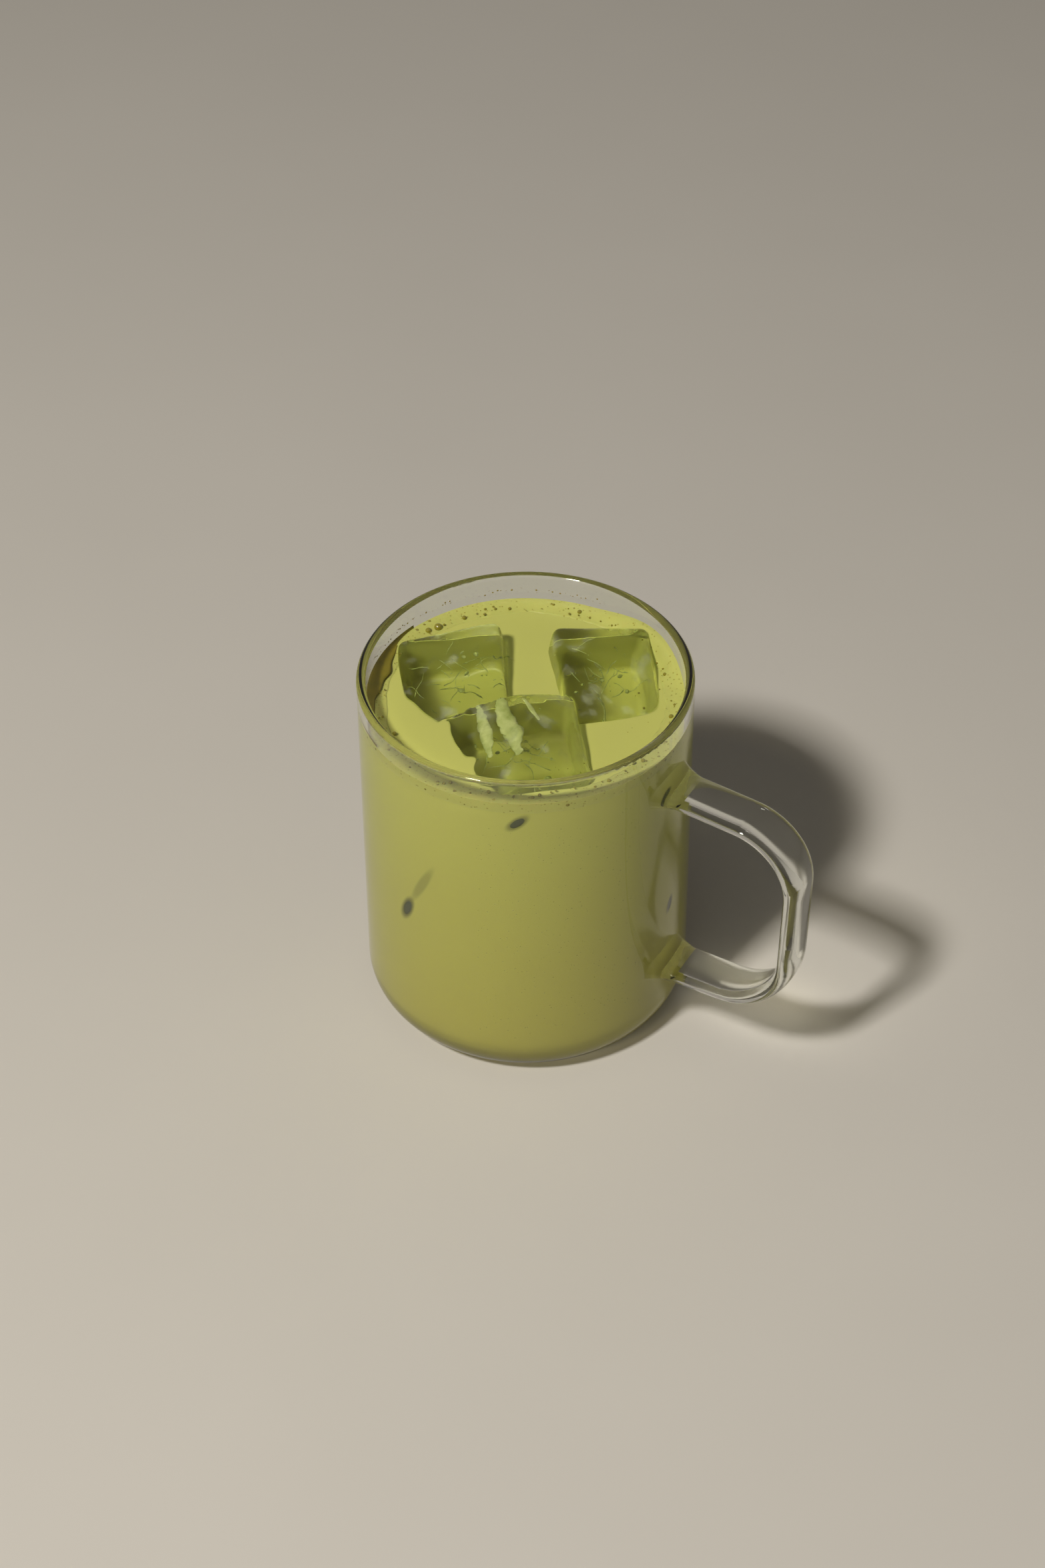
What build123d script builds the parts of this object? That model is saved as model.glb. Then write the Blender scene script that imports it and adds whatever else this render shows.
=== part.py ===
"""Iced green tea latte in a clear glass mug, with three ice cubes standing out of the drink.

Frame: millimetres, +Z up, origin at the centre of the mug's underside, +X towards the handle.
Each solid is one sub-part: the mug with its welded handle, the drink, the froth that clings
to the wall, and the three ice cubes. The drink and the froth are cut round the ice.
"""
from build123d import *
import os

# Mug body: a straight cylinder of blown glass with a rounded foot and a fire-polished rim.
mug_diameter = 80.0
mug_height = 96.0
wall = 2.2
base_thickness = 3.4
foot_radius = 9.7

# Handle: a solid flattened strap, bent square and welded to the wall at both ends.
handle_reach = 34.4
handle_below_rim = 17.0
handle_bottom_z = 23.1
handle_slope = 1.4
handle_corner_top = 15.2
handle_corner_bottom = 17.9
strap_width = 12.6
strap_thickness = 4.4

# Weld: the strap flares where it was pressed on to the hot wall.
weld_length = 8.0
weld_spread = 2.6
weld_bite = 0.15
weld_stations = (0.0, 0.3, 0.65, 1.0)

# Drink: what fills the mug stays this far inside the glass.
fit_gap = 0.05
drink_below_rim = 8.2

# Froth: a ring on the drink that climbs the wall, with a swell where the ice pushes it up.
froth_width = 5.0
froth_rise = 0.8
froth_depth = 1.4
froth_crown = 0.35
swell_angle = 65.0
swell_length = 24.0
swell_width = 9.0
swell_height = 3.4

# Ice: cubes from one mould, partly melted. Each lies at its own angle in the drink. A cube's place
# is the centre of its top face: across the mug, along it, and above the drink's level.
ice_height = 25.0
ice_edge = 2.0
ice_clearance = 0.3
ice_wall_gap = 0.3
left_size = (25.5, 30.5)
left_top = (-17.8, -5.1, 3.1)
left_lean = (15.1, -4.5, 35.8)
right_size = (23.6, 29.0)
right_top = (13.7, 15.7, 3.6)
right_lean = (4.0, 13.2, 40.1)
front_size = (31.0, 28.0)
front_top = (8.7, -17.4, 5.4)
front_lean = (1.9, 8.3, 41.4)

# Chips on the front cube: how each broken face is tilted about the cube's X and Y, and a point
# on it, measured from the centre of the cube's top face.
front_chips = (
    ((1.0, -30.0), (-7.0, 8.0, -3.9)),
    ((-12.0, -37.0), (-6.0, 12.7, -0.3)),
    ((-2.7, -20.0), (2.8, 8.5, 0.0)),
    ((-16.0, 8.0), (8.0, 10.5, 0.0)),
)

mug_radius = mug_diameter / 2
drink_level = mug_height - drink_below_rim
handle_top_z = mug_height - handle_below_rim
cavity_radius = mug_radius - wall
cavity_corner = foot_radius - wall
drink_radius = cavity_radius - fit_gap
chip_block = 60.0


def revolved(outline):
    """Turn a closed outline in the XZ plane about the mug's axis."""
    return revolve(Plane.XZ * make_face(outline), axis=Axis.Z)


def cup():
    """The glass body without its handle: foot, wall, round rim and flat base."""
    rim_z = mug_height - wall / 2
    floor_z = base_thickness + cavity_corner
    outline = Curve() + [
        Line((0, 0), (mug_radius - foot_radius, 0)),
        CenterArc((mug_radius - foot_radius, foot_radius), foot_radius, -90, 90),
        Line((mug_radius, foot_radius), (mug_radius, rim_z)),
        CenterArc((mug_radius - wall / 2, rim_z), wall / 2, 0, 180),
        Line((cavity_radius, rim_z), (cavity_radius, floor_z)),
        CenterArc((cavity_radius - cavity_corner, floor_z), cavity_corner, 0, -90),
        Line((cavity_radius - cavity_corner, base_thickness), (0, base_thickness)),
        Line((0, base_thickness), (0, 0)),
    ]
    return revolved(outline)


def strap_section(plane, spread=0.0):
    """The strap's oval section on a plane, made larger all round by the spread."""
    half_width = strap_width / 2 + spread
    half_thickness = strap_thickness / 2 + spread
    return plane * Ellipse(half_width, half_thickness)


def weld(start, direction):
    """A flare that narrows from the wall to the strap's own section."""
    sections = []
    for share in weld_stations:
        spread = weld_spread * (1 - share) ** 2 - weld_bite
        plane = Plane(origin=start + direction * (share * weld_length), x_dir=(0, 1, 0), z_dir=direction)
        sections.append(strap_section(plane, spread))
    return loft(sections)


def handle():
    """The bent strap with both welds, ending inside the wall."""
    root = mug_radius - wall / 2
    top_corner = (mug_radius + handle_reach + handle_slope / 2, 0, handle_top_z - handle_slope)
    bottom_corner = (mug_radius + handle_reach - handle_slope / 2, 0, handle_bottom_z + handle_slope)
    path = FilletPolyline(
        (root, 0, handle_top_z),
        top_corner,
        bottom_corner,
        (root, 0, handle_bottom_z),
        radius=[handle_corner_top, handle_corner_bottom],
    )
    start_plane = Plane(origin=path @ 0, x_dir=(0, 1, 0), z_dir=path % 0)
    strap = sweep(strap_section(start_plane), path=path)
    welds = [weld(path @ 0, path % 0), weld(path @ 1, (path % 1) * -1)]
    inside = Cylinder(mug_radius - wall / 2, 2 * mug_height)
    return (strap + welds) - inside


def drink_body(level):
    """What fills the cavity up to a level."""
    floor_z = base_thickness + fit_gap
    corner_z = floor_z + cavity_corner
    corner_x = drink_radius - cavity_corner
    outline = Curve() + [
        Line((0, floor_z), (corner_x, floor_z)),
        CenterArc((corner_x, corner_z), cavity_corner, -90, 90),
        Line((drink_radius, corner_z), (drink_radius, level)),
        Line((drink_radius, level), (0, level)),
        Line((0, level), (0, floor_z)),
    ]
    return revolved(outline)


def froth_ring():
    """The ring of fine bubbles, crowned on top and rounded underneath, with its swell."""
    inner = (drink_radius - froth_width, drink_level)
    crown = (drink_radius - froth_width / 2, drink_level + froth_rise / 2 + froth_crown)
    high = (drink_radius, drink_level + froth_rise)
    low = (drink_radius, drink_level - froth_depth)
    belly = (drink_radius - froth_width / 2, drink_level - froth_depth / 2 - froth_crown)
    outline = Curve() + [
        ThreePointArc(inner, crown, high),
        Line(high, low),
        ThreePointArc(low, belly, inner),
    ]
    dome = scale(Sphere(1), by=(swell_width, swell_length / 2, froth_rise + swell_height))
    swell = Rot(Z=swell_angle) * Pos(drink_radius, 0, drink_level) * dome
    floor = drink_body(drink_level - froth_depth)
    return revolved(outline) + (swell & drink_body(mug_height) - floor)


def ice_cube(size, top, lean, chips=()):
    """A round-edged block hung under the centre of its top face, with broken faces cut off.

    The glass holds it in: what would reach past the wall gap has melted away.
    """
    block = fillet(Box(size[0], size[1], ice_height).edges(), ice_edge)
    block = Pos(0, 0, -ice_height / 2) * block
    cutter = Pos(0, 0, chip_block / 2) * Box(chip_block, chip_block, chip_block)
    for tilt, point in chips:
        block -= Location(point, (*tilt, 0)) * cutter
    across, along, above = top
    hollow = Pos(0, 0, mug_height / 2) * Cylinder(drink_radius - ice_wall_gap, 2 * mug_height)
    return Location((across, along, drink_level + above), lean) * block & hollow


mug = cup() + handle()

ice_front = ice_cube(front_size, front_top, front_lean, front_chips)
beside_front = ice_cube(
    (front_size[0] + 2 * ice_clearance, front_size[1] + 2 * ice_clearance), front_top, front_lean
)
ice_left = ice_cube(left_size, left_top, left_lean) - beside_front
ice_right = ice_cube(right_size, right_top, right_lean) - beside_front
ice = [ice_left, ice_right, ice_front]

froth = froth_ring() - ice
latte = drink_body(drink_level) - froth_ring() - ice

parts = {
    "mug": mug,
    "latte": latte,
    "froth": froth,
    "ice_left": ice_left,
    "ice_right": ice_right,
    "ice_front": ice_front,
}

os.makedirs("parts", exist_ok=True)
for name, part in parts.items():
    print(name, "solids", len(part.solids()), "volume_mm3", round(part.volume))
    export_step(part, f"parts/{name}.step")
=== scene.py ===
"""Iced matcha latte in a clear glass mug: the looks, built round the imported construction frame.

Everything is in metres in the frame's own axes: +Z up, +X towards the handle, origin at the centre
of the mug's underside.
"""

import logging
from dataclasses import dataclass, field
from enum import Enum
from math import cos, pi, radians, sin, tau
from random import Random
from typing import Callable, Sequence

import bmesh
import bpy
from mathutils import Matrix, Vector, noise
from mathutils.bvhtree import BVHTree


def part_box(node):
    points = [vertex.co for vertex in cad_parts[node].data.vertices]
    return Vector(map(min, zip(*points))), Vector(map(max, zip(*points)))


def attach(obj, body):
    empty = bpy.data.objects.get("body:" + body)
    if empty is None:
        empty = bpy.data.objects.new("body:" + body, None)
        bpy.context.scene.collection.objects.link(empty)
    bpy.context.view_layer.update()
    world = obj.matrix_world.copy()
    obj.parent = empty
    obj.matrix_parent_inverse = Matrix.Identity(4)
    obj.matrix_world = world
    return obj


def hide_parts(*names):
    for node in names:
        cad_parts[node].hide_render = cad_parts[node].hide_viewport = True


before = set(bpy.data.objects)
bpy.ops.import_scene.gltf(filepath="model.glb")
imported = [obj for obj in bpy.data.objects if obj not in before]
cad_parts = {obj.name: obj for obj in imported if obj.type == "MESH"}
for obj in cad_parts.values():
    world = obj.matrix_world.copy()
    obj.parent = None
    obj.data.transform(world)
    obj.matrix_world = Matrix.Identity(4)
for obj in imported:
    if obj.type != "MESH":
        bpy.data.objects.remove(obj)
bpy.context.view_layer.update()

MM = 0.001
BITE = 0.12 * MM  # how far the drink and froth reach past their own radius, into the glass
BODY = "root"
log = logging.getLogger("latte")

Colour = tuple[float, float, float, float]


def srgb(red: float, green: float, blue: float) -> Colour:
    """Turn display values from 0 to 255 into a linear colour.

    Args:
        red: Red, 0 to 255.
        green: Green, 0 to 255.
        blue: Blue, 0 to 255.

    Returns:
        The linear colour with an alpha of one.
    """
    linear = []
    for value in (red, green, blue):
        share = value / 255
        linear.append(share / 12.92 if share <= 0.04045 else ((share + 0.055) / 1.055) ** 2.4)
    return (linear[0], linear[1], linear[2], 1.0)


class Slot(Enum):
    """The record's material slots, one named with each new piece."""

    GLASS = "mug_glass"
    LATTE = "latte"
    FROTH = "froth"
    ICE = "ice"


# ---------------------------------------------------------------- finishes


@dataclass(frozen=True)
class Finish:
    """Base of every finish: a name and a node tree built on a Principled shader."""

    name: str

    def start(self) -> tuple[bpy.types.Material, bpy.types.NodeTree, bpy.types.Node]:
        """Make an empty node material.

        Returns:
            The material, its node tree and its Principled shader.
        """
        material = bpy.data.materials.new(self.name)
        material.use_nodes = True
        tree = material.node_tree
        shader = tree.nodes["Principled BSDF"]
        return material, tree, shader


def add_noise(tree: bpy.types.NodeTree, scale: float, detail: float = 3.0) -> bpy.types.NodeSocket:
    """Add a noise pattern on Object coordinates.

    Args:
        tree: The material's node tree.
        scale: Cells to a metre.
        detail: How many finer layers the pattern has.

    Returns:
        The pattern's value socket, from 0 to 1.
    """
    coordinates = tree.nodes.new("ShaderNodeTexCoord")
    pattern = tree.nodes.new("ShaderNodeTexNoise")
    pattern.inputs["Scale"].default_value = scale
    pattern.inputs["Detail"].default_value = detail
    tree.links.new(coordinates.outputs["Object"], pattern.inputs["Vector"])
    return pattern.outputs["Fac"]


def add_ramp(
    tree: bpy.types.NodeTree, value: bpy.types.NodeSocket, stops: Sequence[tuple[float, Colour]]
) -> bpy.types.NodeSocket:
    """Turn a value into a colour.

    Args:
        tree: The material's node tree.
        value: The value socket to read.
        stops: Places from 0 to 1, each with its colour.

    Returns:
        The colour socket.
    """
    ramp = tree.nodes.new("ShaderNodeValToRGB")
    elements = ramp.color_ramp.elements
    while len(elements) < len(stops):
        elements.new(0.5)
    for element, (place, colour) in zip(elements, stops):
        element.position = place
        element.color = colour
    tree.links.new(value, ramp.inputs["Fac"])
    return ramp.outputs["Color"]


def add_bump(
    tree: bpy.types.NodeTree, shader: bpy.types.Node, height: bpy.types.NodeSocket, depth: float, strength: float
) -> None:
    """Give a shader relief from a height pattern.

    Args:
        tree: The material's node tree.
        shader: The shader that takes the relief.
        height: The height pattern's socket.
        depth: Height of the relief in metres.
        strength: How much of it shows, 0 to 1.
    """
    bump = tree.nodes.new("ShaderNodeBump")
    bump.inputs["Distance"].default_value = depth
    bump.inputs["Strength"].default_value = strength
    tree.links.new(height, bump.inputs["Height"])
    tree.links.new(bump.outputs["Normal"], shader.inputs["Normal"])


def add_height(tree: bpy.types.NodeTree, low: float, high: float) -> bpy.types.NodeSocket:
    """Measure how far up the object a point is.

    Args:
        tree: The material's node tree.
        low: Height in metres that reads 0.
        high: Height in metres that reads 1.

    Returns:
        The value socket, held between 0 and 1.
    """
    coordinates = tree.nodes.new("ShaderNodeTexCoord")
    split = tree.nodes.new("ShaderNodeSeparateXYZ")
    reach = tree.nodes.new("ShaderNodeMapRange")
    reach.inputs["From Min"].default_value = low
    reach.inputs["From Max"].default_value = high
    tree.links.new(coordinates.outputs["Object"], split.inputs["Vector"])
    tree.links.new(split.outputs["Z"], reach.inputs["Value"])
    return reach.outputs["Result"]


@dataclass(frozen=True)
class ClearFinish(Finish):
    """Clear glass or ice, with a faint ripple."""

    tint: Colour = (1.0, 1.0, 1.0, 1.0)
    ior: float = 1.47
    roughness: float = 0.0
    ripple_scale: float = 60.0
    ripple_depth: float = 0.00005
    ripple_strength: float = 0.15
    shade: Colour = srgb(225, 224, 214)
    cloud: Colour = srgb(214, 222, 176)
    cloud_scale: float = 0.0
    cloud_low: float = 0.6
    cloud_high: float = 0.8
    cloud_share: float = 0.5

    def make(self) -> bpy.types.Material:
        """Build the material.

        Returns:
            The finished material.
        """
        material, tree, shader = self.start()
        shader.inputs["Base Color"].default_value = self.tint
        shader.inputs["Transmission Weight"].default_value = 1.0
        shader.inputs["IOR"].default_value = self.ior
        shader.inputs["Roughness"].default_value = self.roughness
        ripple = add_noise(tree, self.ripple_scale)
        add_bump(tree, shader, ripple, self.ripple_depth, self.ripple_strength)
        if self.cloud_scale:
            self.add_clouds(tree, shader)
        self.let_light_through(tree, shader)
        return material

    def add_clouds(self, tree: bpy.types.NodeTree, shader: bpy.types.Node) -> None:
        """Mist the clear body in soft patches, as trapped air and fine cracks do.

        Args:
            tree: The material's node tree.
            shader: The clear shader.
        """
        patches = add_noise(tree, self.cloud_scale, 5.0)
        reach = tree.nodes.new("ShaderNodeMapRange")
        reach.interpolation_type = "SMOOTHSTEP"
        reach.inputs["From Min"].default_value = self.cloud_low
        reach.inputs["From Max"].default_value = self.cloud_high
        reach.inputs["To Min"].default_value = 1.0
        reach.inputs["To Max"].default_value = 1.0 - self.cloud_share
        tree.links.new(patches, reach.inputs["Value"])
        tree.links.new(reach.outputs["Result"], shader.inputs["Transmission Weight"])
        colour = add_ramp(tree, patches, ((self.cloud_low, self.tint), (self.cloud_high, self.cloud)))
        tree.links.new(colour, shader.inputs["Base Color"])

    def let_light_through(self, tree: bpy.types.NodeTree, shader: bpy.types.Node) -> None:
        """Let the lamps shine through to what lies behind, a little dimmed.

        Args:
            tree: The material's node tree.
            shader: The clear shader.
        """
        clear = tree.nodes.new("ShaderNodeBsdfTransparent")
        clear.inputs["Color"].default_value = self.shade
        path = tree.nodes.new("ShaderNodeLightPath")
        mix = tree.nodes.new("ShaderNodeMixShader")
        tree.links.new(path.outputs["Is Shadow Ray"], mix.inputs["Fac"])
        tree.links.new(shader.outputs["BSDF"], mix.inputs[1])
        tree.links.new(clear.outputs["BSDF"], mix.inputs[2])
        tree.links.new(mix.outputs["Shader"], tree.nodes["Material Output"].inputs["Surface"])


@dataclass(frozen=True)
class MilkFinish(Finish):
    """An opaque milky liquid, cloudy in colour, with painted light making it a little paler towards the top and
    painted shade making it darker lower down.
    """

    # The first colour below is painted shade low in the drink, the second painted light towards its top.
    shaded_deep: Colour = srgb(181, 175, 88)
    pale: Colour = srgb(188, 189, 100)
    # The colour of the painted shade round sunken ice at the glass.
    shade: Colour = srgb(46, 52, 22)
    cloud_scale: float = 45.0
    roughness: float = 0.22
    scatter: float = 0.12
    low: float = 0.0
    high: float = 0.088
    grain_scale: float = 900.0
    grain_depth: float = 0.00003

    def make(self) -> bpy.types.Material:
        """Build the material.

        Returns:
            The finished material.
        """
        material, tree, shader = self.start()
        # The height mix paints light towards the top and shade lower down.
        height = add_height(tree, self.low, self.high)
        cloud = add_noise(tree, self.cloud_scale, 4.0)
        blend = tree.nodes.new("ShaderNodeMath")
        blend.operation = "MULTIPLY_ADD"
        blend.inputs[1].default_value = 0.25
        tree.links.new(cloud, blend.inputs[0])
        tree.links.new(height, blend.inputs[2])
        colour = add_ramp(tree, blend.outputs["Value"], ((0.1, self.shaded_deep), (1.1, self.pale)))
        # Painted shade round each place where sunken ice lies against the glass.
        for touch in SHADED_TOUCHES:
            colour = self.shaded(tree, colour, touch)
        tree.links.new(colour, shader.inputs["Base Color"])
        shader.inputs["Roughness"].default_value = self.roughness
        shader.inputs["IOR"].default_value = 1.34
        shader.inputs["Subsurface Weight"].default_value = self.scatter
        shader.inputs["Subsurface Radius"].default_value = (1.0, 1.0, 0.35)
        shader.inputs["Subsurface Scale"].default_value = 0.003
        add_bump(tree, shader, add_noise(tree, self.grain_scale), self.grain_depth, 0.4)
        return material

    def shaded(
        self, tree: bpy.types.NodeTree, colour: bpy.types.NodeSocket, touch: "Touch"
    ) -> bpy.types.NodeSocket:
        """Paint a soft shade on the drink round a place where sunken ice lies against the glass.

        Args:
            tree: The material's node tree.
            colour: The drink's colour so far.
            touch: The place, and how far its shade reaches.

        Returns:
            The darkened colour.
        """
        coordinates = tree.nodes.new("ShaderNodeTexCoord")
        mapping = tree.nodes.new("ShaderNodeMapping")
        mapping.vector_type = "TEXTURE"
        mapping.inputs["Location"].default_value = touch.centre()
        mapping.inputs["Rotation"].default_value = touch.turn()
        mapping.inputs["Scale"].default_value = touch.reach()
        length = tree.nodes.new("ShaderNodeVectorMath")
        length.operation = "LENGTH"
        fade = tree.nodes.new("ShaderNodeMapRange")
        fade.interpolation_type = "SMOOTHSTEP"
        fade.inputs["From Min"].default_value = 0.45
        fade.inputs["From Max"].default_value = 1.0
        fade.inputs["To Min"].default_value = touch.strength
        fade.inputs["To Max"].default_value = 0.0
        mix = tree.nodes.new("ShaderNodeMix")
        mix.data_type = "RGBA"
        mix.inputs["B"].default_value = self.shade
        tree.links.new(coordinates.outputs["Object"], mapping.inputs["Vector"])
        tree.links.new(mapping.outputs["Vector"], length.inputs[0])
        tree.links.new(length.outputs["Value"], fade.inputs["Value"])
        tree.links.new(fade.outputs["Result"], mix.inputs["Factor"])
        tree.links.new(colour, mix.inputs["A"])
        return mix.outputs["Result"]


@dataclass(frozen=True)
class FoamFinish(Finish):
    """Fine foam: a pale froth with tiny pores darkened by painted shade."""

    froth: Colour = srgb(182, 183, 96)
    shaded_pore: Colour = srgb(140, 132, 40)
    pore_scale: float = 900.0
    roughness: float = 0.3

    def make(self) -> bpy.types.Material:
        """Build the material.

        Returns:
            The finished material.
        """
        material, tree, shader = self.start()
        coordinates = tree.nodes.new("ShaderNodeTexCoord")
        cells = tree.nodes.new("ShaderNodeTexVoronoi")
        cells.inputs["Scale"].default_value = self.pore_scale
        tree.links.new(coordinates.outputs["Object"], cells.inputs["Vector"])
        # The pits of the cell pattern take the darker colour: painted shade in the pores.
        colour = add_ramp(tree, cells.outputs["Distance"], ((0.08, self.shaded_pore), (0.24, self.froth)))
        tree.links.new(colour, shader.inputs["Base Color"])
        shader.inputs["Roughness"].default_value = self.roughness
        shader.inputs["Subsurface Weight"].default_value = 0.1
        shader.inputs["Subsurface Scale"].default_value = 0.002
        add_bump(tree, shader, cells.outputs["Distance"], 0.0001, 0.5)
        return material


@dataclass(frozen=True)
class BubbleFinish(Finish):
    """A bubble's skin, glossy, dark in its middle by painted shade and pale at its edge by painted reflection."""

    # Colour of the painted shade in the middle, then of the painted reflection at the edge.
    middle: Colour = srgb(126, 118, 30)
    edge: Colour = srgb(190, 186, 100)
    roughness: float = 0.06

    def make(self) -> bpy.types.Material:
        """Build the material.

        Returns:
            The finished material.
        """
        material, tree, shader = self.start()
        # Painted light: the middle, which faces the camera, takes painted shade and the grazing edge a painted
        # reflection.
        weight = tree.nodes.new("ShaderNodeLayerWeight")
        weight.inputs["Blend"].default_value = 0.35
        colour = add_ramp(tree, weight.outputs["Facing"], ((0.25, self.middle), (0.75, self.edge)))
        tree.links.new(colour, shader.inputs["Base Color"])
        shader.inputs["Roughness"].default_value = self.roughness
        shader.inputs["Coat Weight"].default_value = 0.6
        return material


@dataclass(frozen=True)
class PlainFinish(Finish):
    """A matt finish with a gentle cloudiness, for the table."""

    colour: Colour = srgb(200, 195, 187)
    shade: Colour = srgb(198, 193, 185)
    scale: float = 12.0
    roughness: float = 0.85

    def make(self) -> bpy.types.Material:
        """Build the material.

        Returns:
            The finished material.
        """
        material, tree, shader = self.start()
        pattern = add_noise(tree, self.scale)
        colour = add_ramp(tree, pattern, ((0.3, self.shade), (0.7, self.colour)))
        tree.links.new(colour, shader.inputs["Base Color"])
        shader.inputs["Roughness"].default_value = self.roughness
        return material


@dataclass(frozen=True)
class Touch:
    """A place where a sunken cube's worn corner lies against the glass, with painted shade round it."""

    angle: float
    height: float
    half_width: float
    half_height: float
    lean: float = 0.0
    # How dark the painted shade round this place is.
    strength: float = 1.0
    radius: float = 37.9 * MM
    thickness: float = 6.0 * MM

    def centre(self) -> tuple[float, float, float]:
        """Find the place on the wall.

        Returns:
            The place in metres.
        """
        way = radians(self.angle)
        return (self.radius * cos(way), self.radius * sin(way), self.height)

    def turn(self) -> tuple[float, float, float]:
        """Find the turn that brings X outwards, Y along the wall and Z up along the mark.

        Returns:
            The turn as XYZ angles.
        """
        upright = Matrix.Rotation(radians(self.angle), 3, "Z") @ Matrix.Rotation(radians(self.lean), 3, "X")
        return tuple(upright.to_euler("XYZ"))

    def reach(self) -> tuple[float, float, float]:
        """Say how far the mark reaches.

        Returns:
            Its reach in, along and up, in metres.
        """
        return (self.thickness, self.half_width, self.half_height)


# Places where sunken ice lies against the glass, each with its painted shade.
SHADED_TOUCHES = (
    Touch(-105.0, 45.5 * MM, 2.1 * MM, 5.6 * MM, lean=-22, strength=0.8),
    Touch(-97.5, 56.0 * MM, 1.6 * MM, 9.5 * MM, lean=-26, strength=0.32),
    Touch(-61.0, 83.0 * MM, 1.9 * MM, 4.2 * MM, lean=-48, strength=0.6),
    Touch(3.5, 39.0 * MM, 1.5 * MM, 3.2 * MM, lean=-18, strength=0.8),
    Touch(1.0, 73.6 * MM, 1.9 * MM, 1.8 * MM, strength=0.8),
)

GLASS = ClearFinish("clear_glass", tint=srgb(250, 252, 248), ior=1.47, shade=srgb(152, 149, 134))
ICE = ClearFinish(
    "wet_ice", tint=srgb(236, 241, 222), ior=1.31, roughness=0.02, ripple_scale=220.0,
    ripple_depth=0.0003, ripple_strength=0.35, shade=srgb(122, 130, 88), cloud_scale=170.0,
    cloud_low=0.55, cloud_high=0.8, cloud_share=0.3,
)
FLAW = PlainFinish("cloudy_core", colour=srgb(182, 188, 118), shade=srgb(140, 150, 66), scale=900.0, roughness=0.6)
DROPLET = ClearFinish("water_droplet", ior=1.33)
LATTE = MilkFinish("milky_green_tea")
FROTH = FoamFinish("tea_froth")
# Bubbles with painted shade in the middle and a painted reflection at the edge.
BUBBLE = BubbleFinish("bubble_skin")
# Sunken ice at the glass, opaque and dark green in painted shade.
SHADED_ICE = BubbleFinish("sunken_ice_painted_shade", middle=srgb(58, 66, 26), edge=srgb(84, 92, 40), roughness=0.15)
AMBER = PlainFinish("amber_edge", colour=srgb(124, 112, 28), shade=srgb(106, 98, 24), scale=300.0, roughness=0.35)
# Pale opaque streaks in the front cube: painted highlight.
STREAK_HIGHLIGHT = PlainFinish("painted_highlight_streak", colour=srgb(206, 209, 152), shade=srgb(150, 158, 84), scale=260.0, roughness=0.5)
# Dried froth: its brown is its own, its darker middle is painted shade and its paler rim a painted reflection.
RESIDUE = BubbleFinish("dried_froth", middle=srgb(140, 120, 60), edge=srgb(176, 160, 104), roughness=0.4)
TABLE = PlainFinish("pale_table")


# ---------------------------------------------------------------- mesh helpers


def new_piece(name: str, mesh: bpy.types.Mesh, finish: Finish, slot: Slot) -> bpy.types.Object:
    """Put a finished mesh in the scene as a piece of the object.

    Args:
        name: The piece's name.
        mesh: Its mesh, in place in the frame.
        finish: What it is finished with.
        slot: The record's slot that the finish stands for; not used.

    Returns:
        The piece, riding on the object's one body.
    """
    mesh.materials.clear()
    mesh.materials.append(finish.make())
    piece = bpy.data.objects.new(name, mesh)
    bpy.context.scene.collection.objects.link(piece)
    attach(piece, BODY)
    log.info("%s: %d faces", name, len(mesh.polygons))
    return piece


def mesh_from(build: Callable[[bmesh.types.BMesh], None], name: str) -> bpy.types.Mesh:
    """Make a mesh with a function that fills a bmesh.

    Args:
        build: Adds the vertices and faces.
        name: The mesh's name.

    Returns:
        The smooth mesh, with its faces turned outwards.
    """
    shape = bmesh.new()
    build(shape)
    bmesh.ops.recalc_face_normals(shape, faces=shape.faces)
    mesh = bpy.data.meshes.new(name)
    shape.to_mesh(mesh)
    shape.free()
    mesh.polygons.foreach_set("use_smooth", [True] * len(mesh.polygons))
    return mesh


def baked(piece: bpy.types.Object) -> bpy.types.Mesh:
    """Turn an object with its modifiers into a plain mesh.

    Args:
        piece: The object, which is removed.

    Returns:
        A new mesh with the modifiers applied.
    """
    bpy.context.view_layer.update()
    graph = bpy.context.evaluated_depsgraph_get()
    mesh = bpy.data.meshes.new_from_object(piece.evaluated_get(graph))
    bpy.data.objects.remove(piece)
    return mesh


def scratch(mesh: bpy.types.Mesh, name: str = "scratch") -> bpy.types.Object:
    """Link a mesh as a working object that is removed later.

    Args:
        mesh: The mesh to link.
        name: The object's name.

    Returns:
        The working object.
    """
    piece = bpy.data.objects.new(name, mesh)
    bpy.context.scene.collection.objects.link(piece)
    return piece


def cut(mesh: bpy.types.Mesh, cutters: Sequence[bpy.types.Mesh]) -> bpy.types.Mesh:
    """Cut shapes out of a closed mesh.

    Args:
        mesh: The mesh to cut.
        cutters: Closed meshes to take away.

    Returns:
        The cut mesh.
    """
    piece = scratch(mesh)
    tools = [scratch(cutter, "cutter") for cutter in cutters]
    for tool in tools:
        modifier = piece.modifiers.new("cut", "BOOLEAN")
        modifier.operation = "DIFFERENCE"
        modifier.solver = "MANIFOLD"
        modifier.object = tool
    result = baked(piece)
    for tool in tools:
        bpy.data.objects.remove(tool)
    return result


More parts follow.
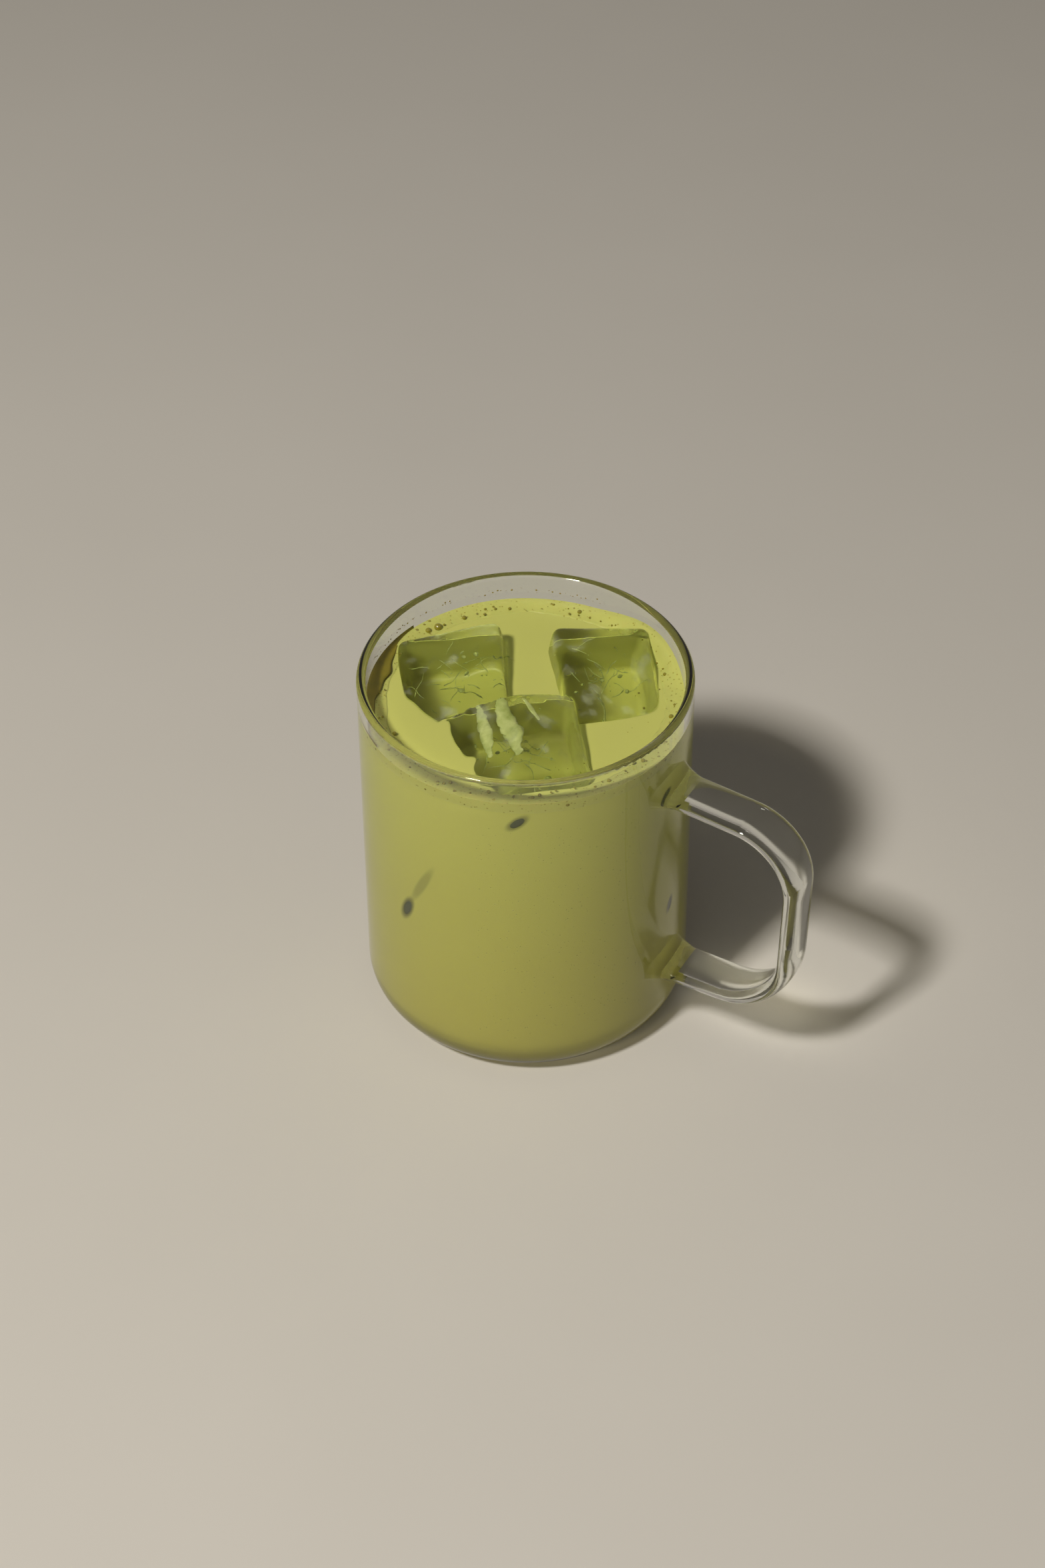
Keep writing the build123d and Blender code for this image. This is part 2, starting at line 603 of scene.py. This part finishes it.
def turned(outline: Sequence[tuple[float, float]], steps: int, name: str) -> bpy.types.Mesh:
    """Turn an outline about the upright axis into a closed shape.

    Args:
        outline: Radius and height pairs from the axis below to the axis above, in metres.
        steps: How many steps go round.
        name: The mesh's name.

    Returns:
        The turned mesh.
    """

    def build(shape: bmesh.types.BMesh) -> None:
        """Add the rings, the quads between them and the two caps."""
        rings = []
        for radius, height in outline:
            ring = [
                shape.verts.new((radius * cos(tau * k / steps), radius * sin(tau * k / steps), height))
                for k in range(steps)
            ]
            rings.append(ring)
        for lower, upper in zip(rings, rings[1:]):
            for k in range(steps):
                follow = (k + 1) % steps
                shape.faces.new((lower[k], lower[follow], upper[follow], upper[k]))
        shape.faces.new(rings[0])
        shape.faces.new(rings[-1])

    return mesh_from(build, name)


# ---------------------------------------------------------------- ice


@dataclass
class IceCubes:
    """The three cubes that stand out of the drink, worn smooth by melting."""

    nodes: tuple[str, ...] = ("ice_left", "ice_right", "ice_front")
    voxel: float = 0.45 * MM
    melt_depth: float = 0.28 * MM
    melt_scale: float = 150.0
    broken: str = "ice_front"
    ridge_depth: float = 0.5 * MM
    ridge_length: float = 7.5 * MM
    ridge_turn: float = 25.0
    ridge_facing: Vector = Vector((-0.4, -0.33, 0.86))
    pocket_inset: float = 0.12 * MM
    shapes: dict[str, bpy.types.Mesh] = field(default_factory=dict)

    def shape(self, node: str) -> bpy.types.Mesh:
        """Copy a cube from the frame and wear its surface.

        Args:
            node: The cube's node in the frame.

        Returns:
            The worn mesh.
        """
        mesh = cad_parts[node].data.copy()
        merge = bmesh.new()
        merge.from_mesh(mesh)
        bmesh.ops.remove_doubles(merge, verts=merge.verts, dist=0.01 * MM)
        merge.to_mesh(mesh)
        merge.free()
        piece = scratch(mesh)
        remesh = piece.modifiers.new("even", "REMESH")
        remesh.mode = "VOXEL"
        remesh.voxel_size = self.voxel
        smooth = piece.modifiers.new("soften", "SMOOTH")
        smooth.iterations = 3
        worn = baked(piece)
        moved = []
        for vertex in worn.vertices:
            wave = noise.noise(vertex.co * self.melt_scale)
            push = wave * self.melt_depth
            if node == self.broken:
                facing = max(0.0, vertex.normal.dot(self.ridge_facing) - 0.8) / 0.2
                along = vertex.co.x * cos(radians(self.ridge_turn)) + vertex.co.y * sin(radians(self.ridge_turn))
                push += facing * self.ridge_depth * sin(tau * along / self.ridge_length + 2.5 * wave)
            moved.append(vertex.co + vertex.normal * push)
        for vertex, place in zip(worn.vertices, moved):
            vertex.co = place
        worn.polygons.foreach_set("use_smooth", [True] * len(worn.polygons))
        return worn

    def build(self) -> None:
        """Make each cube and stand it in for its node."""
        for node in self.nodes:
            self.shapes[node] = self.shape(node)
            piece = new_piece(f"{node}_worn", self.shapes[node], ICE, Slot.ICE)
            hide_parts(node)

    def pockets(self) -> list[bpy.types.Mesh]:
        """Make the shapes that the cubes press into the drink, a little inside each cube's skin.

        Returns:
            One closed mesh for each cube.
        """
        shapes = []
        for node in self.nodes:
            pocket = self.shapes[node].copy()
            normals = [normal.vector.copy() for normal in pocket.vertex_normals]
            for vertex, normal in zip(pocket.vertices, normals):
                vertex.co -= normal * self.pocket_inset
            shapes.append(pocket)
        return shapes


# ---------------------------------------------------------------- drink


@dataclass
class Drink:
    """The milky tea that fills the glass, and the froth on it."""

    radius: float = 0.0
    level: float = 0.0
    floor: float = 0.0
    bite: float = BITE
    corner: float = 7.5 * MM
    corner_steps: int = 10
    side_steps: int = 40
    round_steps: int = 160

    def __post_init__(self) -> None:
        """Take the drink's size and level from the frame."""
        low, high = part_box("latte")
        self.radius = high.x + self.bite
        self.level = high.z
        self.floor = low.z - self.bite

    def side_outline(self) -> list[tuple[float, float]]:
        """Draw the drink's outline from the middle of its floor to its level at the wall.

        Returns:
            Pairs of radius and height, in metres.
        """
        centre = self.radius - self.corner
        points = [(centre * share, self.floor) for share in (0.05, 0.5)]
        for step in range(self.corner_steps + 1):
            angle = pi / 2 * step / self.corner_steps
            points.append((centre + self.corner * sin(angle), self.floor + self.corner * (1 - cos(angle))))
        bottom = self.floor + self.corner
        for step in range(1, self.side_steps + 1):
            points.append((self.radius, bottom + (self.level - bottom) * step / self.side_steps))
        return points

    def build(self, pockets: Sequence[bpy.types.Mesh]) -> None:
        """Make the drink and stand it in for its node.

        Args:
            pockets: What the ice presses into it.
        """
        outline = self.side_outline()
        outline += [(self.radius * share, self.level) for share in (0.9, 0.6, 0.3, 0.03)]
        mesh = cut(turned(outline, self.round_steps, "latte_fill"), pockets)
        mesh.set_sharp_from_angle(angle=radians(40))
        piece = new_piece("latte_fill", mesh, LATTE, Slot.LATTE)
        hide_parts("latte")


@dataclass
class Froth:
    """The ring of foam that climbs the wall, with a swell beside the ice."""

    width: float = 5.0 * MM
    rise: float = 0.9 * MM
    depth: float = 1.4 * MM
    sink: float = 0.35 * MM
    swell_angle: float = 65.0
    swell_spread: float = 20.0
    swell_height: float = 3.0 * MM
    unevenness: float = 1.1 * MM
    bite: float = BITE
    across_steps: int = 24
    round_steps: int = 320

    def wall_height(self, angle: float) -> float:
        """How far the froth climbs the wall at an angle, above the drink's level.

        Args:
            angle: Direction from the axis, in degrees.

        Returns:
            The climb in metres.
        """
        off = (angle - self.swell_angle + 180) % 360 - 180
        swell = self.swell_height * max(0.0, 1 - (off / self.swell_spread / 1.6) ** 2) ** 2
        wave = noise.noise(Vector((cos(radians(angle)) * 2.2, sin(radians(angle)) * 2.2, 4.0)))
        return self.rise * (1 + 0.35 * wave) + swell

    def build(self, pockets: Sequence[bpy.types.Mesh]) -> None:
        """Make the ring and stand it in for its node.

        Args:
            pockets: What the ice presses into it.
        """
        low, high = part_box("latte")
        outer = high.x + self.bite
        level = high.z

        def build(shape: bmesh.types.BMesh) -> None:
            """Add the crowned top, the wall side and the hollow underside, ring by ring."""
            rings = []
            for step in range(self.round_steps):
                angle = 360 * step / self.round_steps
                way = Vector((cos(radians(angle)), sin(radians(angle)), 0))
                wobble = noise.noise(way * 3.1) * self.unevenness
                wobble += noise.noise(way * 11.0) * self.unevenness * 0.4
                inner = outer - self.width + wobble
                climb = self.wall_height(angle)
                ring = []
                for k in range(self.across_steps + 1):
                    share = k / self.across_steps
                    radius = inner + (outer - inner) * share
                    lift = climb * (1 - cos(pi * min(1.0, share * 1.15))) / 2
                    edge = self.sink * max(0.0, 1 - share * 8)
                    ring.append(shape.verts.new(way * radius + Vector((0, 0, level + lift + 0.15 * MM - edge))))
                for share in (1.0, 0.66, 0.33):
                    radius = inner + (outer - inner) * share
                    drop = self.sink + self.depth * share
                    ring.append(shape.verts.new(way * radius + Vector((0, 0, level - drop))))
                rings.append(ring)
            count = len(rings[0])
            for here, there in zip(rings, rings[1:] + rings[:1]):
                for k in range(count):
                    follow = (k + 1) % count
                    shape.faces.new((here[k], there[k], there[follow], here[follow]))

        mesh = cut(mesh_from(build, "froth_ring"), pockets)
        mesh.set_sharp_from_angle(angle=radians(60))
        piece = new_piece("froth_ring", mesh, FROTH, Slot.FROTH)
        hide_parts("froth")


# ---------------------------------------------------------------- small things


@dataclass(frozen=True)
class Scatter:
    """Small beads strewn over a patch of surface by Geometry Nodes."""

    name: str
    density: float
    smallest: float
    largest: float
    seed: int
    finish: Finish
    slot: Slot
    facets: int = 2
    flatten: float = 1.0

    def tree(self, material: bpy.types.Material) -> bpy.types.NodeTree:
        """Build the node tree that strews the beads.

        Args:
            material: What the beads are finished with.

        Returns:
            The tree, with named inputs for its sizes.
        """
        tree = bpy.data.node_groups.new(f"{self.name}_strewn", "GeometryNodeTree")
        face = tree.interface
        face.new_socket("Geometry", in_out="INPUT", socket_type="NodeSocketGeometry")
        for label in ("Density", "Smallest", "Largest", "Flatten"):
            face.new_socket(label, in_out="INPUT", socket_type="NodeSocketFloat")
        face.new_socket("Seed", in_out="INPUT", socket_type="NodeSocketInt")
        face.new_socket("Geometry", in_out="OUTPUT", socket_type="NodeSocketGeometry")
        source = tree.nodes.new("NodeGroupInput")
        result = tree.nodes.new("NodeGroupOutput")
        points = tree.nodes.new("GeometryNodeDistributePointsOnFaces")
        bead = tree.nodes.new("GeometryNodeMeshIcoSphere")
        bead.inputs["Radius"].default_value = 1.0
        bead.inputs["Subdivisions"].default_value = self.facets
        size = tree.nodes.new("FunctionNodeRandomValue")
        spread = tree.nodes.new("ShaderNodeMath")
        spread.operation = "POWER"
        spread.inputs[1].default_value = 3.0
        reach = tree.nodes.new("ShaderNodeMapRange")
        shape = tree.nodes.new("ShaderNodeCombineXYZ")
        flat = tree.nodes.new("ShaderNodeMath")
        flat.operation = "MULTIPLY"
        place = tree.nodes.new("GeometryNodeInstanceOnPoints")
        real = tree.nodes.new("GeometryNodeRealizeInstances")
        smooth = tree.nodes.new("GeometryNodeSetShadeSmooth")
        dress = tree.nodes.new("GeometryNodeSetMaterial")
        dress.inputs["Material"].default_value = material
        link = tree.links.new
        link(source.outputs["Geometry"], points.inputs["Mesh"])
        link(source.outputs["Density"], points.inputs["Density"])
        link(source.outputs["Seed"], points.inputs["Seed"])
        link(source.outputs["Seed"], size.inputs["Seed"])
        link(size.outputs[1], spread.inputs[0])
        link(spread.outputs["Value"], reach.inputs["Value"])
        link(source.outputs["Smallest"], reach.inputs["To Min"])
        link(source.outputs["Largest"], reach.inputs["To Max"])
        link(reach.outputs["Result"], shape.inputs["X"])
        link(reach.outputs["Result"], shape.inputs["Y"])
        link(reach.outputs["Result"], flat.inputs[0])
        link(source.outputs["Flatten"], flat.inputs[1])
        link(flat.outputs["Value"], shape.inputs["Z"])
        link(points.outputs["Points"], place.inputs["Points"])
        link(points.outputs["Rotation"], place.inputs["Rotation"])
        link(bead.outputs["Mesh"], place.inputs["Instance"])
        link(shape.outputs["Vector"], place.inputs["Scale"])
        link(place.outputs["Instances"], smooth.inputs["Geometry"])
        link(smooth.outputs["Geometry"], real.inputs["Geometry"])
        link(real.outputs["Geometry"], dress.inputs["Geometry"])
        link(dress.outputs["Geometry"], result.inputs["Geometry"])
        return tree

    def build(self, patch: bpy.types.Mesh) -> bpy.types.Object:
        """Strew the beads over a patch, which itself isn't kept.

        Args:
            patch: The surface that the beads sit on.

        Returns:
            The finished piece.
        """
        host = scratch(patch, self.name)
        tree = self.tree(self.finish.make())
        modifier = host.modifiers.new("strew", "NODES")
        modifier.node_group = tree
        values = {
            "Density": self.density, "Smallest": self.smallest, "Largest": self.largest,
            "Flatten": self.flatten, "Seed": self.seed,
        }
        for item in tree.interface.items_tree:
            if item.in_out == "INPUT" and item.name in values:
                modifier[item.identifier] = values[item.name]
        return new_piece(self.name, baked(host), self.finish, self.slot)


OUTWARD = (0, 2, 3, 1)
INWARD = (1, 3, 2, 0)
UPWARD = (0, 1, 3, 2)
FULL_TURN = (0.0, 360.0)
WALL_STEPS = 48
RING_STEPS = 72


def band(
    edges: tuple[tuple[float, float], tuple[float, float]],
    angles: tuple[float, float],
    facing: tuple[int, int, int, int],
    steps: int,
) -> bpy.types.Mesh:
    """Make a strip between two edges that run round the axis.

    Args:
        edges: Radius and height of each edge, in metres.
        angles: Where it starts and ends, in degrees.
        facing: The order of each quad's corners, which says what way it faces.
        steps: How many quads it has.

    Returns:
        The strip.
    """
    start, end = angles
    mesh = bpy.data.meshes.new("band")
    vertices = []
    for k in range(steps + 1):
        way = radians(start + (end - start) * k / steps)
        vertices += [(radius * cos(way), radius * sin(way), height) for radius, height in edges]
    mesh.from_pydata(vertices, [], [tuple(2 * k + corner for corner in facing) for k in range(steps)])
    return mesh


def add_blob(
    shape: bmesh.types.BMesh, place: Callable[[Vector], Vector], facets: int = 3
) -> None:
    """Add a unit ball whose points are moved one by one.

    Args:
        shape: The mesh that takes it.
        place: Turns a point of the unit ball into its place in the frame.
        facets: How finely the ball is divided.
    """
    ball = bmesh.ops.create_icosphere(shape, subdivisions=facets, radius=1.0)
    for vertex in ball["verts"]:
        vertex.co = place(vertex.co.copy())


@dataclass(frozen=True)
class SunkenIce:
    """The worn corners of sunken cubes, where they lie against the glass, made opaque and dark in painted shade."""

    reach: float = 0.05 * MM
    round_off: float = 0.3 * MM
    depth: float = 1.5 * MM
    share: float = 0.62
    strong: float = 0.5

    def build(self, radius: float) -> None:
        """Make every corner that shows.

        Args:
            radius: The radius of the drink in the glass, in metres.
        """

        def fill(shape: bmesh.types.BMesh) -> None:
            """Bend one flat lens to the wall for each touch."""
            for touch in SHADED_TOUCHES:
                if touch.strength < self.strong:
                    continue

                def place(point: Vector, touch: Touch = touch) -> Vector:
                    """Lay a point of the lens along the wall."""
                    rim = point.y**2 + point.z**2
                    inward = self.round_off * rim**4 + self.depth * max(0.0, -point.x)
                    lean = Matrix.Rotation(radians(touch.lean), 2)
                    flat = lean @ Vector(
                        (point.y * touch.half_width * self.share, point.z * touch.half_height * self.share)
                    )
                    way = radians(touch.angle) + flat.x / radius
                    away = radius + self.reach - inward
                    return Vector((away * cos(way), away * sin(way), touch.height + flat.y))

                add_blob(shape, place)

        # Opaque pieces in painted shade where clear sunken ice lies against the glass.
        new_piece("sunken_ice_painted_shade", mesh_from(fill, "sunken_ice_painted_shade"), SHADED_ICE, Slot.ICE)


@dataclass(frozen=True)
class Flaws:
    """Cloudy cores and fine cracks inside the cubes."""

    count: int = 16
    crack_count: int = 26
    smallest: float = 0.15 * MM
    largest: float = 0.85 * MM
    crack_size: float = 3.4 * MM
    crack_thickness: float = 0.06 * MM
    spread: float = 0.36
    seed: int = 21

    def build(self, cubes: dict[str, bpy.types.Mesh]) -> None:
        """Strew the cores and cracks in each cube.

        Args:
            cubes: The worn cubes by node.
        """
        draw = Random(self.seed)

        def fill(shape: bmesh.types.BMesh) -> None:
            """Add the flaws of every cube, gathered under its top."""
            for mesh in cubes.values():
                points = [vertex.co for vertex in mesh.vertices]
                centre = sum(points, Vector()) / len(points)
                top = max(point.z for point in points)
                half = (top - centre.z) * self.spread * 1.5
                middle = Vector((centre.x, centre.y, top - (top - centre.z) * 0.62))
                for k in range(self.count + self.crack_count):
                    core = k < self.count
                    offset = Vector([draw.gauss(0, 0.55) for _ in range(3)]) * half
                    offset.z *= 0.5
                    turn = Matrix.Rotation(draw.uniform(0, tau), 3, Vector([draw.uniform(-1, 1) for _ in range(3)]))
                    size = self.smallest + (self.largest - self.smallest) * draw.random() ** 2
                    wide = self.crack_size * draw.uniform(0.4, 1.0)
                    radii = (
                        Vector((size, size * draw.uniform(0.5, 1.0), size * draw.uniform(0.4, 0.8)))
                        if core
                        else Vector((wide, self.crack_thickness * draw.uniform(1.0, 2.2), self.crack_thickness))
                    )
                    drift = draw.uniform(0, 50)

                    def place(point: Vector) -> Vector:
                        """Swell and bend the ball, then set it in the cube."""
                        wave = 1 + 0.5 * noise.noise(point * 1.6 + Vector((drift, 0, 0)))
                        bent = Vector([point[i] * radii[i] * wave for i in range(3)])
                        if not core:
                            bent.z += 0.18 * wide * sin(2.5 * point.x + drift)
                        return middle + offset + turn @ bent

                    add_blob(shape, place, 2 if core else 3)

        new_piece("ice_flaws", mesh_from(fill, "ice_flaws"), FLAW, Slot.ICE)


@dataclass(frozen=True)
class HighlightStreaks:
    """Bright streaks of painted highlight just under the broken face of the front cube."""

    node: str = "ice_front"
    lines: tuple[tuple[float, float, float, float, float], ...] = (
        (-1.5 * MM, -8.5 * MM, 10.5 * MM, -20.5 * MM, 2.5 * MM),
        (-6.0 * MM, -11.5 * MM, 4.5 * MM, -23.5 * MM, 1.6 * MM),
        (3.5 * MM, -6.0 * MM, 9.5 * MM, -9.5 * MM, 0.7 * MM),
    )
    under: float = 0.9 * MM
    flatness: float = 0.22
    steps: int = 22

    def build(self, cube: bpy.types.Mesh) -> None:
        """Lay each streak of painted highlight along its line, following the cube's skin from inside.

        Args:
            cube: The worn front cube.
        """
        skin = BVHTree.FromPolygons([v.co for v in cube.vertices], [p.vertices for p in cube.polygons])

        def fill(shape: bmesh.types.BMesh) -> None:
            """Join short flat blobs, wide at the top and narrow at the tip."""
            for x0, y0, x1, y1, wide in self.lines:
                for k in range(self.steps + 1):
                    share = k / self.steps
                    spot = Vector((x0 + (x1 - x0) * share, y0 + (y1 - y0) * share, 1.0))
                    spot.x += 0.5 * MM * noise.noise(spot * 400)
                    hit, normal, _, _ = skin.ray_cast(spot, Vector((0, 0, -1)))
                    if hit is None:
                        continue
                    size = wide * (0.3 + 0.7 * sin(pi * (0.12 + 0.8 * share)) ** 1.5)
                    size *= 1 + 0.3 * noise.noise(spot * 900)
                    away = self.under + size * self.flatness
                    lay = normal.to_track_quat("Z", "Y").to_matrix()
                    stretch = Vector((size, size, size * self.flatness))
                    centre = hit - normal * away
                    add_blob(
                        shape,
                        lambda point: centre + lay @ Vector([point[i] * stretch[i] for i in range(3)]),
                        2,
                    )

        new_piece("ice_highlight_streaks", mesh_from(fill, "ice_highlight_streaks"), STREAK_HIGHLIGHT, Slot.ICE)


@dataclass(frozen=True)
class AmberStrip:
    """The darker strip where the froth has drawn back from the wall."""

    start: float = 168.0
    end: float = 240.0
    widest_at: float = 197.0
    width: float = 3.6 * MM
    lift: float = 1.05 * MM
    climb: float = 0.9 * MM
    thickness: float = 0.3 * MM
    round_steps: int = 72
    across_steps: int = 6

    def build(self, wall: float, level: float) -> None:
        """Make the strip.

        Args:
            wall: The radius that it reaches to.
            level: The drink's level.
        """

        def fill(shape: bmesh.types.BMesh) -> None:
            """Add its top and underside, ring by ring, and close both ends."""
            rows = []
            for k in range(self.round_steps + 1):
                angle = self.start + (self.end - self.start) * k / self.round_steps
                near = self.start if angle < self.widest_at else self.end
                share = (angle - near) / (self.widest_at - near)
                width = self.width * (0.06 + 0.94 * (1 - cos(pi * share)) / 2)
                width *= 1 + 0.25 * noise.noise(Vector((angle * 0.11, 0, 0)))
                way = Vector((cos(radians(angle)), sin(radians(angle)), 0))
                row = []
                for side in (0, 1):
                    order = range(self.across_steps + 1) if side == 0 else range(self.across_steps, -1, -1)
                    for j in order:
                        across = j / self.across_steps
                        height = level + self.lift + self.climb * across**2 - side * self.thickness
                        row.append(shape.verts.new(way * (wall - width * (1 - across)) + Vector((0, 0, height))))
                rows.append(row)
            count = len(rows[0])
            for here, there in zip(rows, rows[1:]):
                for k in range(count):
                    follow = (k + 1) % count
                    shape.faces.new((here[k], there[k], there[follow], here[follow]))
            shape.faces.new(rows[0])
            shape.faces.new(rows[-1])

        new_piece("amber_strip", mesh_from(fill, "amber_strip"), AMBER, Slot.FROTH)


@dataclass
class Details:
    """Bubbles, dried froth and condensation."""

    froth_width: float = 4.6 * MM
    froth_edge: float = 0.4 * MM
    froth_lift: float = 0.75 * MM
    stray_width: float = 12 * MM
    strip_bite: float = 0.1 * MM
    wall_bubbles_below: float = 1.3 * MM
    wall_bubbles_above: float = 0.2 * MM
    dried_from: float = 3.0 * MM
    dried_to: float = 4.4 * MM
    wet_margin: float = 14 * MM
    big_bubbles: tuple[tuple[float, float, float], ...] = (
        (160.0, 34.6 * MM, 1.05 * MM), (164.5, 35.0 * MM, 0.8 * MM), (148.0, 34.2 * MM, 0.55 * MM),
        (100.0, 35.3 * MM, 0.6 * MM), (20.0, 35.0 * MM, 0.6 * MM), (-8.0, 34.6 * MM, 0.5 * MM),
    )

    def single_bubbles(self, level: float) -> None:
        """Make the few bubbles that are larger than the rest.

        Args:
            level: The drink's level.
        """

        def fill(shape: bmesh.types.BMesh) -> None:
            """Add one ball for each, half sunk in the froth."""
            for angle, radius, size in self.big_bubbles:
                way = radians(angle)
                centre = Vector((radius * cos(way), radius * sin(way), level + 0.9 * MM - size * 0.4))
                add_blob(shape, lambda point: centre + point * size)

        new_piece("big_bubbles", mesh_from(fill, "big_bubbles"), BUBBLE, Slot.FROTH)

    def build(self) -> None:
        """Make every small thing."""
        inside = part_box("latte")[1]
        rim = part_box("mug")[1].z
        outside = -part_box("mug")[0].x
        level = inside.z
        wall = inside.x
        froth_top = level + self.froth_lift
        SunkenIce().build(wall + BITE)
        AmberStrip().build(wall + self.strip_bite, level)
        self.single_bubbles(level)
        inner = wall - self.froth_width
        Scatter("froth_bubbles", 260000, 0.1 * MM, 0.55 * MM, 3, BUBBLE, Slot.FROTH).build(
            band(((inner, froth_top), (wall - self.froth_edge, froth_top)), FULL_TURN, UPWARD, RING_STEPS)
        )
        Scatter("stray_bubbles", 30000, 0.1 * MM, 0.4 * MM, 8, BUBBLE, Slot.FROTH).build(
            band(((wall - self.stray_width, level), (inner, level)), (-60.0, 60.0), UPWARD, RING_STEPS)
        )
        low, high = level - self.wall_bubbles_below, level + self.wall_bubbles_above
        Scatter("wall_bubbles", 130000, 0.12 * MM, 0.5 * MM, 5, BUBBLE, Slot.FROTH, flatten=0.35).build(
            band(((wall + self.strip_bite, low), (wall + self.strip_bite, high)), (-180.0, 180.0), OUTWARD, WALL_STEPS)
        )
        low, high = level + self.dried_from, level + self.dried_to
        Scatter("dried_froth", 1100000, 0.05 * MM, 0.3 * MM, 11, RESIDUE, Slot.FROTH, flatten=0.3).build(
            band(((wall, low), (wall, high)), (90.0, 215.0), INWARD, WALL_STEPS)
        )
        low, high = self.wet_margin, rim - self.wet_margin
        Scatter("condensation", 330000, 0.05 * MM, 0.17 * MM, 17, DROPLET, Slot.GLASS, 1, 0.45).build(
            band(((outside, low), (outside, high)), (-75.0, -14.0), OUTWARD, WALL_STEPS)
        )


# ---------------------------------------------------------------- mug and scene


@dataclass
class Mug:
    """The glass itself, which keeps the frame's own shape."""

    def dress(self) -> None:
        """Give the frame's mug its glass."""
        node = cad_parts["mug"]
        node.data.materials.clear()
        node.data.materials.append(GLASS.make())
        log.info("mug dressed in %s", GLASS.name)


@dataclass
class Studio:
    """Table, soft lights, background and camera."""

    floor_size: float = 4.0
    lens: float = 76.02
    azimuth: float = 32.25
    elevation: float = 41.05
    distance: float = 802.9 * MM
    roll: float = -0.444
    side_offset: float = -0.924 * MM
    target_height: float = 61.3 * MM
    clip_start: float = 0.01
    surround: float = 0.09
    backdrop: Colour = srgb(150, 143, 134)

    def floor(self) -> None:
        """Lay the pale table under the mug."""

        def build(shape: bmesh.types.BMesh) -> None:
            """Add one large flat face."""
            half = self.floor_size / 2
            corners = [(-half, -half), (half, -half), (half, half), (-half, half)]
            shape.faces.new([shape.verts.new((x, y, 0)) for x, y in corners])

        mesh = mesh_from(build, "table")
        mesh.materials.append(TABLE.make())
        table = bpy.data.objects.new("table", mesh)
        bpy.context.scene.collection.objects.link(table)

    def light(self, name: str, place: Vector, size: float, power: float, colour: Colour) -> None:
        """Hang one soft square lamp that faces the mug.

        Args:
            name: The lamp's name.
            place: Where it hangs, in metres.
            size: Its side in metres.
            power: Its power in watts.
            colour: Its colour.
        """
        lamp = bpy.data.lights.new(name, "AREA")
        lamp.size = size
        lamp.energy = power
        lamp.color = colour[:3]
        holder = bpy.data.objects.new(name, lamp)
        holder.location = place
        holder.rotation_euler = (Vector((0, 0, 0.05)) - place).to_track_quat("-Z", "Y").to_euler()
        bpy.context.scene.collection.objects.link(holder)

    def world(self) -> None:
        """Fill the surroundings with a soft pale light."""
        world = bpy.data.worlds.new("studio")
        world.use_nodes = True
        tree = world.node_tree
        light = tree.nodes["Background"]
        light.inputs["Color"].default_value = srgb(232, 228, 220)
        light.inputs["Strength"].default_value = self.surround
        shown = tree.nodes.new("ShaderNodeBackground")
        shown.inputs["Color"].default_value = self.backdrop
        shown.inputs["Strength"].default_value = 1.0
        path = tree.nodes.new("ShaderNodeLightPath")
        seen = path.outputs["Is Camera Ray"]
        for ray in ("Is Glossy Ray", "Is Transmission Ray"):
            either = tree.nodes.new("ShaderNodeMath")
            either.operation = "MAXIMUM"
            tree.links.new(seen, either.inputs[0])
            tree.links.new(path.outputs[ray], either.inputs[1])
            seen = either.outputs["Value"]
        mix = tree.nodes.new("ShaderNodeMixShader")
        tree.links.new(seen, mix.inputs["Fac"])
        tree.links.new(light.outputs["Background"], mix.inputs[1])
        tree.links.new(shown.outputs["Background"], mix.inputs[2])
        tree.links.new(mix.outputs["Shader"], tree.nodes["World Output"].inputs["Surface"])
        bpy.context.scene.world = world

    def camera(self) -> None:
        """Set the camera at its angle, looking down on the mug with the handle to the right."""
        turn = Matrix.Rotation(radians(self.azimuth), 3, "Z")
        lift = radians(self.elevation)
        target = turn @ Vector((self.side_offset, 0, self.target_height))
        back = turn @ Vector((0, -cos(lift), sin(lift)))
        camera = bpy.data.cameras.new("camera")
        camera.lens = self.lens
        camera.sensor_width = 36
        camera.sensor_fit = "AUTO"
        camera.clip_start = self.clip_start
        holder = bpy.data.objects.new("camera", camera)
        facing = back.to_track_quat("Z", "Y").to_matrix() @ Matrix.Rotation(radians(self.roll), 3, "Z")
        holder.matrix_world = Matrix.Translation(target + back * self.distance) @ facing.to_4x4()
        bpy.context.scene.collection.objects.link(holder)
        bpy.context.scene.camera = holder

    def build(self) -> None:
        """Set the whole stage."""
        self.camera()
        self.floor()
        self.world()
        turn = Matrix.Rotation(radians(self.azimuth), 3, "Z")
        self.light("key", turn @ Vector((-0.57, -0.69, 1.2)), 0.16, 20.0, srgb(255, 251, 243))
        self.light("fill", turn @ Vector((0.9, -0.9, 1.0)), 1.2, 0.7, srgb(255, 250, 244))
        bpy.context.scene.view_settings.view_transform = "Standard"


def main() -> None:
    """Build the pieces in order and set the stage."""
    logging.basicConfig(level=logging.INFO, format="%(name)s: %(message)s")
    Studio().build()
    Mug().dress()
    cubes = IceCubes()
    cubes.build()
    Drink().build(cubes.pockets())
    Froth().build(cubes.pockets())
    Flaws().build(cubes.shapes)
    # Painted highlight streaks under the front cube's broken face.
    HighlightStreaks().build(cubes.shapes[HighlightStreaks.node])
    Details().build()


if __name__ == "__main__":
    main()
